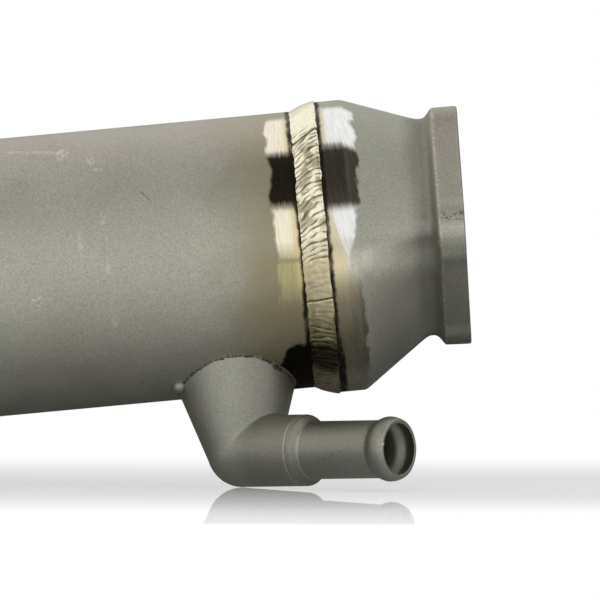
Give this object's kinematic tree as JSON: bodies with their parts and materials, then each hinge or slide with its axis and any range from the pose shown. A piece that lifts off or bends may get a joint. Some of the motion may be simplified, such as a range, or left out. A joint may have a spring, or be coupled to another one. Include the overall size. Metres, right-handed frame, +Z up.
{
  "type": "egr cooler",
  "caption": "Shell-and-tube exhaust gas cooler: a round steel shell with welded cast end caps, square gas flanges and angled coolant hose stubs.",
  "frame": {"origin": "centre of the front gas flange's gasket face, on the port's axis", "axes": "+X along the shell's axis and out of the front gas flange, which is tilted 1.6 degrees about Y, +Z up, with two of the flange's four ears on Z and two on Y; the shell's axis lies 4.5 mm below the middle of the front flange face"},
  "size_m": [0.554, 0.1594, 0.2182],
  "materials": {
    "shell_steel": "bead-blasted, heat-tinted beside the welds",
    "cast_steel": "blasted casting with a machined flange face",
    "weld_metal": "wire-brushed rippled weld",
    "elbow_steel": "blasted",
    "stub_steel": "dull formed tube",
    "plate_steel": "turned plate",
    "tube_steel": "drawn tube"
  },
  "bodies": {
    "root": {"shell": "shell_steel", "front_end_cap": "cast_steel", "rear_end_cap": "cast_steel", "front_weld_bead": "weld_metal", "rear_weld_bead": "weld_metal", "front_header_plate": "plate_steel", "rear_header_plate": "plate_steel", "front_coolant_elbow": "elbow_steel", "rear_coolant_elbow": "elbow_steel", "front_hose_stub": "stub_steel", "rear_hose_stub": "stub_steel", "front_saddle_braze": "elbow_steel", "rear_saddle_braze": "elbow_steel", "front_tack_weld": "elbow_steel", "baffle_plate_1": "plate_steel", "baffle_plate_2": "plate_steel", "baffle_plate_3": "plate_steel", "baffle_plate_4": "plate_steel", "gas_tube_01": "tube_steel", "gas_tube_02": "tube_steel", "gas_tube_03": "tube_steel", "gas_tube_04": "tube_steel", "gas_tube_05": "tube_steel", "gas_tube_06": "tube_steel", "gas_tube_07": "tube_steel", "gas_tube_08": "tube_steel", "gas_tube_09": "tube_steel", "gas_tube_10": "tube_steel", "gas_tube_11": "tube_steel", "gas_tube_12": "tube_steel", "gas_tube_13": "tube_steel", "gas_tube_14": "tube_steel", "gas_tube_15": "tube_steel", "gas_tube_16": "tube_steel", "gas_tube_17": "tube_steel", "gas_tube_18": "tube_steel", "gas_tube_19": "tube_steel", "gas_tube_20": "tube_steel", "gas_tube_21": "tube_steel", "gas_tube_22": "tube_steel", "gas_tube_23": "tube_steel", "gas_tube_24": "tube_steel", "gas_tube_25": "tube_steel", "gas_tube_26": "tube_steel", "gas_tube_27": "tube_steel", "gas_tube_28": "tube_steel", "gas_tube_29": "tube_steel", "gas_tube_30": "tube_steel", "gas_tube_31": "tube_steel", "gas_tube_32": "tube_steel", "gas_tube_33": "tube_steel", "gas_tube_34": "tube_steel", "gas_tube_35": "tube_steel", "gas_tube_36": "tube_steel", "gas_tube_37": "tube_steel"}
  },
  "joints": []
}
